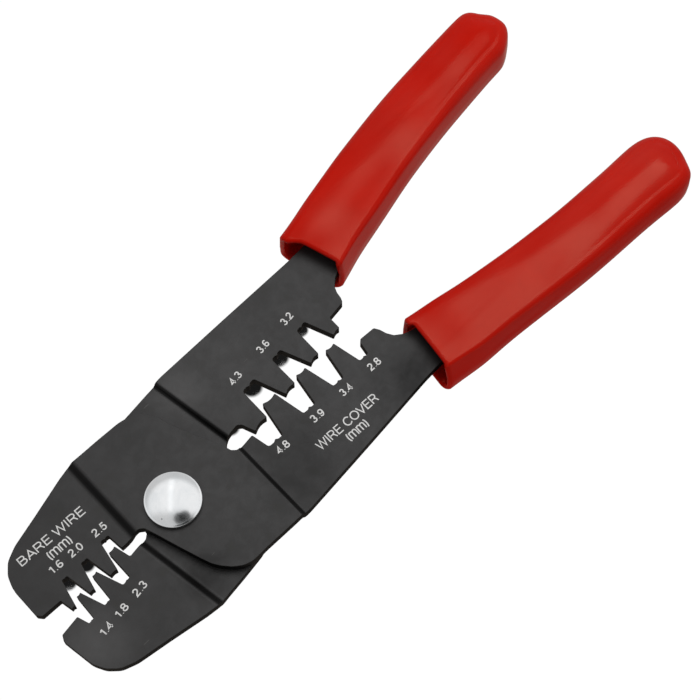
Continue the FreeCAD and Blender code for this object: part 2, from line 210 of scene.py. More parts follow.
def black_oxide():
    g = material("black_oxide_steel")
    v = g.coord()
    normal = g.new("ShaderNodeNewGeometry").outputs["Normal"]
    level = g.math("ABSOLUTE", g.axis(normal, 2))
    wall = g.ramp(level, over=(0.25, 0.55), to=(1.0, 0.0))        # punched side walls; painted shade darkens them below
    bend_shade = g.ramp(level, over=(0.86, 0.995), to=(1.0, 0.0))       # slopes of the joggled bends; painted shade darkens them below
    big = g.noise(v, scale=45.0, detail=4.0, roughness=0.6, distortion=0.6)
    mid = g.noise(v, scale=260.0, detail=4.0, roughness=0.65, distortion=0.3)
    fine = g.noise(v, scale=1800.0, detail=3.0, roughness=0.6)

    tone = g.ramp(big, over=(0.3, 0.7), to=(0.0, 1.0))
    base = g.mix(tone, rgb(36, 35, 35), rgb(45, 44, 44))
    base = g.mix(g.ramp(mid, over=(0.55, 0.75), to=(0.0, 0.5)), base, rgb(50, 49, 45))
    base = g.mix(g.ramp(mid, over=(0.30, 0.42), to=(0.35, 0.0)), base, rgb(28, 28, 29))

    # painted shade and painted highlight: broad darker and paler patches laid into the oxide's
    # colour
    place = g.object_place()
    shade_matt = []
    for x, y, radius, grey, strength in SHADE_AND_HIGHLIGHT_PATCHES:
        centre = (x * MM, y * MM, HALF_PLATE * MM)
        wobbly = g.add(g.vector_math("DISTANCE", place, centre),
                       g.linear(big, over=(0.3, 0.7), to=(-0.003, 0.003)))
        here = g.ramp(wobbly, over=(0.0, radius * MM), to=(strength, 0.0))
        base = g.mix(here, base, rgb(grey, grey - 1, grey - 1))
        if grey < MATT_BELOW:
            shade_matt.append(here)
    shade_matt = g.maximum(shade_matt)

    scratch = []
    for angle, scale, begin in SCRATCHES:
        along = g.mapping(v, Rotation=(0, 0, math.radians(angle)), Scale=(0.09, 1.0, 1.0))
        grain = g.noise(along, scale=scale, detail=2.0, roughness=0.5, distortion=0.2)
        scratch.append(g.ramp(grain, over=(begin, begin + 0.03), to=(0.0, 1.0)))
    gate = g.ramp(g.noise(v, scale=60.0), over=(0.52, 0.66), to=(0.0, 1.0))
    scratch = g.times(g.maximum(scratch), gate)
    base = g.mix(g.times(scratch, 0.45), base, rgb(112, 110, 106))
    # painted shade: the joggled bends' slopes are darkened in colour
    base = g.mix(g.times(bend_shade, 0.70), base, rgb(13, 13, 13))
    # painted shade: the punched side walls are darkened almost to black
    base = g.mix(g.times(wall, 0.85), base, rgb(9, 9, 9))

    # rubbed edges, found where a bevelled normal leaves the true one
    bevel = g.new("ShaderNodeBevel", {"Radius": 0.00022}, samples=6).outputs[0]
    agreement = g.vector_math("DOT_PRODUCT", bevel, normal)
    edge = g.ramp(agreement, over=(0.80, 0.97), to=(1.0, 0.0))
    edge = g.times(edge, g.ramp(mid, over=(0.40, 0.62), to=(0.10, 0.55)))
    edge = g.times(edge, g.ramp(level, over=(0.3, 0.9), to=(0.0, 1.0)))
    base = g.mix(edge, base, rgb(88, 87, 85))

    rough = g.linear(mid, over=(0.3, 0.7), to=(0.40, 0.52))
    rough = g.add(rough, g.times(wall, 0.25))
    rough = g.minus(rough, g.times(scratch, 0.10))
    relief = g.add(g.times(fine, 0.5), g.times(mid, 0.6))
    relief = g.minus(relief, g.times(scratch, 0.8))
    # painted shade also dims the reflections of the bends' slopes and of the dark patches
    specular = g.minus(0.26, g.times(bend_shade, 0.16))
    specular = g.minus(specular, g.times(shade_matt, 0.11))
    return g.principled(
        Base_Color=base, Roughness=rough, Specular_IOR_Level=specular,
        Normal=g.bump(relief, strength=0.16, distance=0.00006, Normal=bevel))


def nickel():
    g = material("nickel_plate")
    v = g.coord()
    smudge = g.noise(v, scale=150.0, detail=4.0, roughness=0.6, distortion=0.4)
    fine = g.noise(v, scale=1500.0, detail=3.0, roughness=0.6)
    pit = g.ramp(g.noise(v, scale=620.0), over=(0.74, 0.79), to=(0.0, 1.0))
    base = g.mix(g.ramp(smudge, over=(0.35, 0.7), to=(0.0, 1.0)),
                 rgb(250, 251, 252), rgb(238, 241, 243))
    base = g.mix(g.times(pit, 0.6), base, rgb(120, 124, 128))
    relief = g.add(g.times(smudge, 1.2), g.times(fine, 0.15))
    relief = g.minus(relief, g.times(pit, 0.8))
    return g.principled(
        Base_Color=base, Metallic=1.0,
        Roughness=g.linear(smudge, over=(0.3, 0.7), to=(0.12, 0.19)),
        Normal=g.bump(relief, strength=0.25, distance=0.00008))


def vinyl():
    g = material("dipped_vinyl_red")
    v = g.coord()
    big = g.noise(v, scale=40.0, detail=3.0, roughness=0.5, distortion=0.3)
    mid = g.noise(v, scale=300.0, detail=4.0, roughness=0.6)
    fine = g.noise(v, scale=2600.0, detail=3.0, roughness=0.6)
    base = g.mix(g.ramp(big, over=(0.3, 0.7), to=(0.0, 1.0)), rgb(212, 25, 12), rgb(203, 22, 10))
    base = g.mix(g.ramp(mid, over=(0.45, 0.8), to=(0.0, 0.25)), base, rgb(190, 20, 9))
    specks = g.noise(v, scale=900.0, detail=1.0)
    base = g.mix(g.ramp(specks, over=(0.80, 0.84), to=(0.0, 0.35)), base, rgb(120, 16, 10))

    # the dipped skin's sheen runs in soft bands along the handle
    band = g.noise(g.coord((14.0, 95.0, 60.0)), scale=1.0, distortion=0.4)
    specular = g.ramp(band, over=(0.35, 0.65), to=(0.050, 0.170))
    place = g.object_place()
    for x, y, radius, sheen in SHEEN_PATCHES:
        distance = g.vector_math("DISTANCE", place, (x * MM, y * MM, SHEEN_Z * MM))
        here = g.ramp(distance, over=(0.0, radius * MM), to=(0.85, 0.0))
        specular = g.add(g.times(specular, g.minus(1.0, here)), g.times(here, sheen))

    # the skin is duller down the sides, most of all on the grip at negative y
    normal = g.new("ShaderNodeNewGeometry").outputs["Normal"]
    side = g.ramp(g.math("ABSOLUTE", g.axis(normal, 2)), over=(0.15, 0.60), to=(1.0, 0.0))
    dull = g.ramp(g.axis(place, 1), over=(-0.010, 0.010), to=(0.85, 0.25))
    specular = g.times(specular, g.minus(1.0, g.times(side, dull)))
    relief = g.add(g.times(mid, 1.0), g.times(fine, 0.20))
    return g.principled(
        Base_Color=base, Roughness=g.linear(mid, over=(0.3, 0.7), to=(0.15, 0.22)),
        Normal=g.bump(relief, strength=0.10, distance=0.00010),
        Specular_IOR_Level=specular, Specular_Tint=(1.0, 0.79, 0.55, 1.0))


def ink():
    g = material("off_white_ink")
    grain = g.noise(g.coord(), scale=1400.0, detail=3.0, roughness=0.6)
    base = g.mix(g.ramp(grain, over=(0.35, 0.7), to=(0.0, 1.0)),
                 rgb(255, 255, 253), rgb(236, 235, 233))
    return g.principled(
        Base_Color=base, Roughness=g.linear(grain, over=(0.3, 0.7), to=(0.55, 0.7)),
        Specular_IOR_Level=0.3)


STEEL = black_oxide()
NICKEL = nickel()
VINYL = vinyl()
INK = ink()

for lever_name in ("top_lever", "bottom_lever"):
    slots = nodes[lever_name].data.materials
    slots.clear()
    slots.append(STEEL)


def make_object(name, verts, faces, surface, shade_smooth=True):
    mesh = bpy.data.meshes.new(name)
    mesh.from_pydata([tuple(v) for v in verts], [], faces)
    bm = bmesh.new()
    bm.from_mesh(mesh)
    bmesh.ops.recalc_face_normals(bm, faces=bm.faces)
    bm.to_mesh(mesh)
    bm.free()
    if shade_smooth:
        for polygon in mesh.polygons:
            polygon.use_smooth = True
        mesh.update()
    obj = bpy.data.objects.new(name, mesh)
    scene.collection.objects.link(obj)
    mesh.materials.append(surface)
    return obj


# --------------------------------------------------------------------- sleeves
# Plan outline of each sleeve, (x, y) in the closed-lever frame: from the mouth's outer
# corner along the outer side, round the tip, to the mouth's inner corner.
OUTLINE = {
    "top": [
        (79.2, -25.9), (85.0, -26.4), (92.0, -27.08), (100.0, -27.23), (110.0, -27.65),
        (120.0, -28.29), (130.0, -28.89), (140.0, -29.18), (150.0, -29.23), (160.0, -29.35),
        (167.0, -29.65), (172.3, -29.6), (176.5, -28.1), (178.4, -25.0), (179.8, -21.7),
        (180.5, -18.0), (179.7, -14.1), (177.0, -10.9), (172.5, -9.2), (167.0, -8.92),
        (160.0, -9.13), (150.0, -9.26), (140.0, -9.3), (130.0, -9.0), (120.0, -8.44),
        (110.0, -7.57), (100.0, -6.47), (92.0, -5.32), (86.0, -4.63), (81.9, -4.1)],
    "bottom": [
        (79.2, -26.25), (85.0, -26.77), (92.0, -27.7), (100.0, -28.52), (110.0, -29.5),
        (120.0, -30.13), (130.0, -30.62), (140.0, -30.82), (150.0, -30.7), (160.0, -30.46),
        (167.0, -30.2), (170.8, -29.95), (174.0, -29.15), (175.75, -27.5), (176.9, -25.1),
        (178.5, -22.3), (179.0, -19.3), (178.55, -16.3), (176.35, -13.75), (173.45, -12.1),
        (170.3, -11.0), (167.0, -10.94), (160.0, -11.1), (150.0, -11.13), (140.0, -11.03),
        (130.0, -10.62), (120.0, -9.93), (110.0, -8.82), (100.0, -7.7), (92.0, -6.75),
        (86.0, -5.68), (81.9, -4.95)],
}
# Section at stations along each sleeve: x; draft of the wall, top edge radius and bottom
# edge radius of the side that faces -Y in the scene; the same for the +Y side; crown.
SECTION = {
    "top": [
        (79.0, 2.5, 1.1, 3.0, 0.4, 2.2, 3.6, 0.25), (88.0, 2.0, 1.4, 3.0, 0.4, 2.5, 3.6, 0.35),
        (100.0, 1.3, 1.9, 3.0, 0.4, 2.8, 4.0, 0.45), (130.0, 0.8, 2.6, 3.2, 0.4, 3.4, 4.2, 0.80),
        (160.0, 0.7, 3.6, 3.8, 0.5, 4.2, 4.2, 1.25), (182.0, 0.5, 3.7, 3.8, 0.5, 3.8, 3.8, 1.40)],
    "bottom": [
        (79.0, 1.3, 1.5, 3.0, 0.4, 2.8, 5.2, 0.35), (88.0, 1.2, 1.8, 3.0, 0.4, 3.1, 5.2, 0.45),
        (100.0, 1.0, 2.2, 3.0, 0.4, 3.2, 5.0, 0.55), (130.0, 0.7, 2.8, 3.2, 0.4, 3.6, 4.6, 0.90),
        (160.0, 0.7, 3.6, 3.8, 0.5, 4.2, 4.2, 1.25), (182.0, 0.5, 3.6, 3.6, 0.5, 3.6, 3.6, 1.40)],
}
# the lever's tang inside the sleeve: (x, y) of its outer and inner edges
TANG_OUTER = [(60.0, -22.0), (75.5, -20.35), (83.0, -19.8), (100.0, -21.3), (122.0, -23.4),
              (142.0, -24.2), (164.0, -23.9), (172.0, -23.6)]
TANG_INNER = [(60.0, -5.5), (80.2, -6.5), (86.0, -8.0), (100.0, -10.9), (122.0, -13.7),
              (142.0, -15.0), (164.0, -15.2), (172.0, -15.3)]

CROWN_Z, UNDER_Z = 7.44, -7.42   # top of the crown and underside, mm
UNDER_CROWN = -0.05              # the underside swells down by this much
WAIST_Z, WAIST_RADIUS = -1.2, 14.0   # where the drafted wall turns upright
FLAT_RUN = 9.4                   # level run beyond each edge radius
MIN_RADIUS = 0.6
LIP = 0.8                        # how far the rounded lip stands out at the mouth
WALL = 1.75                      # wall thickness at the mouth
TANG_GAP = 0.06                  # clearance round the tang
UNEVENNESS = 0.05

LAST = 232                       # index of the last outline point
TIP = LAST // 2
TIP_BLEND = 34                   # outline points either side of the tip that blend sections
TIP_CROWN = 26                   # outline points before the tip where the crown stops narrowing
ACROSS = 22                      # cells across the top and underside
DOWN = 24                        # cells down a side wall
EDGE_STEPS, WAIST_STEPS = 8, 4
_even = np.arange(ACROSS + 1) / ACROSS
SPREAD = 0.25 * (1 - np.cos(math.pi * _even)) + 0.5 * _even    # closer at the edges

# The mouth is not cut square: its top lip is set back, its +Y side and the lower corner
# of its -Y side run forward, and all this fades out along the sleeve.
MOUTH_BACK = 1.2
MOUTH_LOW = {"top": 0.0, "bottom": 1.0}
MOUTH_PLUS_Y = {"top": 0.1, "bottom": 0.7}
MOUTH_TURN = {"top": 0.12, "bottom": 0.35}   # share of the width the set-back takes
MOUTH_FADE, MOUTH_RINGS = 9.0, 14

LIP_STEPS, LIP_POWER = 8, 2.6
CAVITY_DEPTH, CAVITY_STEP = 14.5, 2          # full-width hollow behind the mouth
NARROWING_STEPS = 5
SLOT_START, SLOT_STEP, SLOT_END_X = 8, 6, 170.6


def length(rows):
    return np.hypot(*np.transpose(rows))


def arc_length(points):
    return np.concatenate([[0], np.cumsum(length(np.diff(points, axis=0)))])


def resample(points, count):
    """Spread count points evenly along a polyline."""
    along = arc_length(points)
    even = np.linspace(0, along[-1], count)
    return np.stack([np.interp(even, along, points[:, c]) for c in (0, 1)], 1)


def spline(points, count):
    """Natural cubic spline through points, sampled evenly in arc length."""
    p = np.array(points, float)
    t = arc_length(p)
    n = len(p)
    h = np.diff(t)
    system, rhs = np.zeros((n, n)), np.zeros((n, 2))
    system[0, 0] = system[-1, -1] = 1
    for i in range(1, n - 1):
        system[i, i - 1:i + 2] = h[i - 1], 2 * (h[i - 1] + h[i]), h[i]
        rhs[i] = 6 * ((p[i + 1] - p[i]) / h[i] - (p[i] - p[i - 1]) / h[i - 1])
    curve = np.linalg.solve(system, rhs)         # second derivatives at the points
    sample = np.linspace(0, t[-1], 600)
    i = np.clip(np.searchsorted(t, sample) - 1, 0, n - 2)
    after, before = (t[i + 1] - sample)[:, None], (sample - t[i])[:, None]
    hi = h[i][:, None]
    fine = ((curve[i] * after ** 3 + curve[i + 1] * before ** 3) / (6 * hi)
            + (p[i] / hi - curve[i] * hi / 6) * after
            + (p[i + 1] / hi - curve[i + 1] * hi / 6) * before)
    return resample(fine, count)


def fillet(corner, start, end, radius, steps):
    """steps + 1 points of the arc that rounds corner between start and end."""
    corner = np.array(corner, float)
    u, v = start - corner, end - corner
    room = 0.49 * min(length(u), length(v))
    u, v = u / length(u), v / length(v)
    half = math.acos(float(u @ v)) / 2
    setback = min(radius / math.tan(half), room)
    radius = setback * math.tan(half)
    centre = corner + (u + v) / length(u + v) * radius / math.sin(half)
    first, last = (corner + d * setback - centre for d in (u, v))
    angle = math.atan2(first[1], first[0])
    sweep = math.remainder(math.atan2(last[1], last[0]) - angle, math.tau)
    t = angle + sweep * np.linspace(0, 1, steps + 1)
    return np.stack([centre[0] + radius * np.cos(t), centre[1] + radius * np.sin(t)], 1)


def side_profile(draft, top_radius, bottom_radius, top_z, bottom_z):
    """(inset, height) points of a side wall, from the top face round to the underside."""
    shoulder, waist, foot = (draft, top_z), (0.0, WAIST_Z), (0.0, bottom_z)
    top = fillet(shoulder, (FLAT_RUN, top_z), waist, top_radius, EDGE_STEPS)
    middle = fillet(waist, shoulder, foot, WAIST_RADIUS, WAIST_STEPS)
    bottom = fillet(foot, waist, (FLAT_RUN, bottom_z), bottom_radius, EDGE_STEPS)
    return np.vstack([top, (top[-1] + middle[0]) / 2, middle,
                      (middle[-1] + bottom[0]) / 2, bottom])


def smooth(t):
    t = min(1.0, max(0.0, t))
    return t * t * (3 - 2 * t)


class Sleeve:
    """A crowned, hollow, round-lipped vinyl moulding round a lever's tang.

    Outline point i on the outer side faces point LAST - i on the inner side. The ring
    at i crosses the top from outer to inner, goes down the inner wall, back across the
    underside and up the outer wall.
    """

    def __init__(self, lever):
        self.lever = lever
        self.is_top = lever == "top"
        self.section = np.array(SECTION[lever])
        plan = spline(OUTLINE[lever], LAST + 1)
        for end, beside in ((0, 1), (-1, -2)):   # leave room for the lip
            step = plan[beside] - plan[end]
            plan[end] += step / length(step) * LIP
        self.plan = plan = resample(plan, LAST + 1)
        tangent = np.gradient(plan, axis=0)
        tangent /= length(tangent)[:, None]
        self.inward = np.stack([-tangent[:, 1], tangent[:, 0]], 1)
        ahead = (plan[0] - plan[3]) + (plan[-1] - plan[-4])
        self.ahead = ahead / length(ahead)       # out of the mouth
        self.verts, self.faces = [], []
        self.shift = {}                          # plan shift of each vertex near the mouth
        self.add_skin()
        self.add_unevenness()
        self.slant_mouth()
        self.add_bore()

    def profile(self, i, inset=0.0):
        """Side profile at outline point i, and the crown there."""
        x = self.plan[i][0]
        row = [np.interp(x, self.section[:, 0], column) for column in self.section.T[1:]]
        inner = smooth((i - (TIP - TIP_BLEND)) / (2.0 * TIP_BLEND))
        minus_y = 1 - inner if self.is_top else inner
        draft, top_radius, bottom_radius = [
            minus_y * a + (1 - minus_y) * b for a, b in zip(row[:3], row[3:6])]
        crown = row[6]
        points = side_profile(draft, max(MIN_RADIUS, top_radius - inset),
                              max(MIN_RADIUS, bottom_radius - inset),
                              CROWN_Z - crown - inset, UNDER_Z + inset)
        return points, crown

    def add_skin(self):
        profiles, crowns = zip(*(self.profile(i) for i in range(LAST + 1)))
        profiles, crowns = np.array(profiles), np.array(crowns)
        for place, inward, profile in zip(self.plan, self.inward, profiles):
            self.verts += [(*(place + inward * inset), z) for inset, z in profile]
        self.side = side = np.arange(len(self.verts)).reshape(LAST + 1, DOWN + 1)
        under = np.full(LAST + 1, UNDER_Z)
        self.caps = [
            self.add_cap(0, profiles, CROWN_Z - crowns, crowns),
            self.add_cap(DOWN, profiles, under, np.full(LAST + 1, UNDER_CROWN))]
        for i in range(LAST):
            for k in range(DOWN):
                self.faces.append((side[i, k], side[i + 1, k],
                                   side[i + 1, k + 1], side[i, k + 1]))
        for ids in self.caps:
            for i in range(TIP):
                for j in range(ACROSS):
                    quad = (ids[i, j], ids[i, j + 1], ids[i + 1, j + 1], ids[i + 1, j])
                    self.faces.append(tuple(dict.fromkeys(quad)))   # triangles at the tip

    def add_cap(self, k, profiles, heights, crowns):
        """Vertices of the top face (k = 0) or underside (k = DOWN); returns their ids."""
        edge = self.plan + self.inward * profiles[:, k, :1]
        ids = np.zeros((TIP + 1, ACROSS + 1), int)
        for i in range(TIP):
            start, end = edge[i], edge[LAST - i]
            wide = min(i, TIP - TIP_CROWN)
            half_width = 0.5 * length(edge[wide] - edge[LAST - wide])
            ids[i, 0], ids[i, ACROSS] = self.side[i, k], self.side[LAST - i, k]
            for j in range(1, ACROSS):
                point = start + (end - start) * SPREAD[j]
                depth = min(1.0, np.min(length(edge - point)) / half_width)
                ids[i, j] = len(self.verts)
                self.verts.append((*point, heights[i] + crowns[i] * (1 - (1 - depth) ** 2)))
        ids[TIP, :] = self.side[TIP, k]
        return ids

    def add_unevenness(self):
        seed = 7 if self.is_top else 3
        self.verts = [Vector(v) for v in self.verts]
        for v in self.verts:
            if v.z > 0:
                at = Vector((v.x * 0.07, v.y * 0.11, v.z * 0.11 + seed))
                v.z += UNEVENNESS * noise.noise(at)

    def ring_ids(self, i):
        top, under = self.caps
        return [*top[i], *self.side[LAST - i, 1:DOWN], *under[i, ::-1],
                *self.side[i, DOWN - 1:0:-1]]

    def mouth_advance(self, j):
        """How far ring vertex j of the mouth runs forward."""
        low, plus_y = MOUTH_LOW[self.lever], MOUTH_PLUS_Y[self.lever]
        if j <= ACROSS:                                  # top face
            share = j / ACROSS
            share = 1 - share if self.is_top else share  # 0 at the +Y side
            return plus_y - (MOUTH_BACK + plus_y) * smooth(share / MOUTH_TURN[self.lever])
        if ACROSS + DOWN <= j <= 2 * ACROSS + DOWN:      # underside
            share = (j - ACROSS - DOWN) / ACROSS
            return low * (share if self.is_top else 1 - share)
        on_inner = j < ACROSS + DOWN
        depth = (j - ACROSS) / DOWN if on_inner else 1 - (j - 2 * ACROSS - DOWN) / DOWN
        if on_inner == self.is_top:                      # the +Y wall
            return plus_y * (1 - depth)
        return -MOUTH_BACK + (MOUTH_BACK + low) * depth

    def slant_mouth(self):
        middle = 0.5 * (self.plan + self.plan[::-1])
        for i in range(MOUTH_RINGS):
            fade = max(0.0, 1 - length(middle[i] - middle[0]) / MOUTH_FADE) ** 2
            for j, vid in enumerate(self.ring_ids(i)):
                dx, dy = self.ahead * self.mouth_advance(j) * fade
                v = self.verts[vid]
                self.shift[vid] = (dx, dy)
                self.verts[vid] = Vector((v[0] + dx, v[1] + dy, v[2]))

    def inset_ring(self, i, inset):
        """Ring i moved inwards, keeping the section's shape."""
        ids = self.ring_ids(i)
        height = np.array([self.verts[vid][2] for vid in ids])
        outer_profile, inner_profile = (self.profile(p, inset)[0] for p in (i, LAST - i))
        outer = self.plan[i] + self.inward[i] * (outer_profile[:, :1] + inset)
        inner = self.plan[LAST - i] + self.inward[LAST - i] * (inner_profile[:, :1] + inset)
        top, under = (outer[k] + (inner[k] - outer[k]) * SPREAD[:, None] for k in (0, DOWN))
        xy = np.vstack([top, inner[1:DOWN], under[::-1], outer[DOWN - 1:0:-1]])
        z = np.concatenate([
            height[:ACROSS + 1] - inset, inner_profile[1:DOWN, 1],
            height[ACROSS + DOWN:2 * ACROSS + DOWN + 1] + inset,
            outer_profile[DOWN - 1:0:-1, 1]])
        xy += np.array([self.shift.get(vid, (0.0, 0.0)) for vid in ids])
        return np.column_stack([xy, z])

    def slot_ring(self, i):
        """Rectangular ring round the tang, where the line across ring i meets it."""
        outer = self.plan[i]
        span = self.plan[LAST - i] - outer

        def crossing(edge):
            edge_x, edge_y = zip(*edge)
            low, high = 0.0, 1.0
            for _ in range(40):
                share = (low + high) / 2
                x, y = outer + span * share
                if y < np.interp(x, edge_x, edge_y):
                    low = share
                else:
                    high = share
            return share

        gap = TANG_GAP / length(span)
        start, end = crossing(TANG_OUTER) - gap, crossing(TANG_INNER) + gap
        half = HALF_PLATE + TANG_GAP
        row = start + (end - start) * np.arange(ACROSS + 1) / ACROSS
        wall_z = half - 2 * half * np.arange(1, DOWN) / DOWN
        share = np.concatenate([row, np.full(DOWN - 1, end), row[::-1],
                                np.full(DOWN - 1, start)])
        z = np.concatenate([np.full(ACROSS + 1, half), wall_z,
                            np.full(ACROSS + 1, -half), wall_z[::-1]])
        return np.column_stack([outer + span * share[:, None], z])

    def add_bore(self):
        """Lip, cavity and the slot for the tang, as rings from the mouth inwards."""
        rings = []
        for j in range(1, LIP_STEPS + 1):
            turn = math.cos(math.pi * j / LIP_STEPS)
            ring = self.inset_ring(0, WALL * 0.5 * (1 - turn))
            ring[:, :2] += self.ahead * (LIP * (1 - abs(turn) ** LIP_POWER))
            rings.append(ring)
        x = self.plan[:, 0]
        deep = [i for i in range(1, TIP) if abs(x[i] - x[0]) <= CAVITY_DEPTH][-1]
        rings += [self.inset_ring(i, WALL) for i in range(2, deep, CAVITY_STEP)]
        for j in range(1, NARROWING_STEPS + 1):
            t = smooth(j / NARROWING_STEPS)
            rings.append(self.inset_ring(deep + j, WALL) * (1 - t) + self.slot_ring(deep + j) * t)
        last = [i for i in range(1, TIP) if x[i] < SLOT_END_X][-1]
        rings += [self.slot_ring(i) for i in (*range(deep + SLOT_START, last, SLOT_STEP), last)]

        near = self.ring_ids(0)
        count = len(near)
        for ring in rings:
            far = list(range(len(self.verts), len(self.verts) + count))
            self.verts.extend(Vector(v) for v in ring)
            for j in range(count):
                k = (j + 1) % count
                self.faces.append((near[j], near[k], far[k], far[j]))
            near = far
        self.faces.append(tuple(near))


def sleeve(lever):
    shape = Sleeve(lever)
    mirror = 1.0 if lever == "top" else -1.0
    to_scene = lever_frame(lever)
    verts = [to_scene @ Vector((v[0], v[1] * mirror, v[2])) for v in shape.verts]
    obj = make_object(f"{lever}_lever_sleeve", verts, shape.faces, VINYL)
    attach(obj, lever)
    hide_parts(f"{lever}_lever_grip")


sleeve("top")
sleeve("bottom")


# ----------------------------------------------------------------------- rivet
cad_rivet = nodes["pivot_rivet"]
RIVET_TOP = max((cad_rivet.matrix_world @ Vector(c)).z for c in cad_rivet.bound_box) / MM
HEAD_SEAT, TAIL_SEAT = 3.23, -3.27       # heights where head and tail meet the levers
HEAD_RADIUS, HEAD_DOME = 7.95, 2.3
DOME_EDGE = 7.62                 # radius where the head's dome turns into its shoulder
SHANK_RADIUS = 4.0
TAIL_RADIUS, TAIL_DOME, TAIL_RIM = 7.2, 1.5, 0.5
TAIL_DOME_EDGE = 6.95
RIVET_SEGMENTS = 128


def sphere_radius(edge, rise):
    return (edge ** 2 + rise ** 2) / (2 * rise)


def rivet_profile():
    """(radius, z) from beside the head's apex to beside the tail's, and the tail's apex z."""
    sphere = sphere_radius(HEAD_RADIUS, HEAD_DOME)
    dome_steps = 26
    profile = []
    for k in range(1, dome_steps + 1):
        angle = math.asin(DOME_EDGE / sphere) * k / dome_steps
        profile.append((sphere * math.sin(angle), RIVET_TOP - sphere + sphere * math.cos(angle)))

    # shoulder: a 60 degree elliptical arc down to the straight rim
    rim = RIVET_TOP - HEAD_SEAT - HEAD_DOME
    rim_z = HEAD_SEAT + rim - 0.05
    rise = (profile[-1][1] - rim_z) / math.sin(math.radians(60))
    run = (HEAD_RADIUS - DOME_EDGE) / (1 - math.cos(math.radians(60)))
    for k in range(1, 6):
        angle = math.radians(60) * (1 - k / 5.0)
        profile.append((HEAD_RADIUS - run * (1 - math.cos(angle)), rim_z + rise * math.sin(angle)))

    profile += [
        (HEAD_RADIUS, HEAD_SEAT + rim * 0.5), (7.90, HEAD_SEAT + 0.19), (7.76, HEAD_SEAT + 0.06),
        (7.55, HEAD_SEAT), (6.2, HEAD_SEAT), (4.3, HEAD_SEAT), (SHANK_RADIUS, HEAD_SEAT - 0.05),
        (SHANK_RADIUS, 1.0), (SHANK_RADIUS, -1.0), (SHANK_RADIUS, TAIL_SEAT + 0.05),
        (4.3, TAIL_SEAT), (6.0, TAIL_SEAT), (6.9, TAIL_SEAT), (7.12, TAIL_SEAT - 0.10),
        (TAIL_RADIUS, TAIL_SEAT - 0.28), (TAIL_RADIUS, TAIL_SEAT - 0.45)]

    sphere = sphere_radius(TAIL_RADIUS, TAIL_DOME)
    apex = TAIL_SEAT - TAIL_RIM - TAIL_DOME
    for k in range(1, 17):
        angle = math.asin(TAIL_DOME_EDGE / sphere) * (1 - k / 17.0)
        profile.append((sphere * math.sin(angle), apex + sphere - sphere * math.cos(angle)))
    return profile, apex


def rivet():
    profile, tail_apex = rivet_profile()
    verts, faces, rows = [Vector((0, 0, RIVET_TOP))], [], []
    for radius, z in profile:
        rows.append(range(len(verts), len(verts) + RIVET_SEGMENTS))
        for s in range(RIVET_SEGMENTS):
            t = 2 * math.pi * s / RIVET_SEGMENTS
            verts.append(Vector((radius * math.cos(t), radius * math.sin(t), z)))
    verts.append(Vector((0, 0, tail_apex)))
    for s in range(RIVET_SEGMENTS):
        n = (s + 1) % RIVET_SEGMENTS
        faces.append((0, rows[0][s], rows[0][n]))
        faces += [(a[s], b[s], b[n], a[n]) for a, b in zip(rows[:-1], rows[1:])]
        faces.append((rows[-1][s], len(verts) - 1, rows[-1][n]))
    to_scene = Matrix.Translation(PIVOT) @ Matrix.Scale(MM, 4)
    obj = make_object("rivet_head_and_shank", [to_scene @ v for v in verts], faces, NICKEL)
    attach(obj, "top")
    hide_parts("pivot_rivet")
    return obj


rivet_object = rivet()


# ----------------------------------------------------------------------- marks
def arc(cx, cy, rx, ry, start, end, steps):
    """Points of an elliptical arc: centre, radii, start and end in degrees, steps."""
    angles = np.radians(np.linspace(start, end, steps + 1))
    return [(cx + rx * math.cos(t), cy + ry * math.sin(t)) for t in angles]


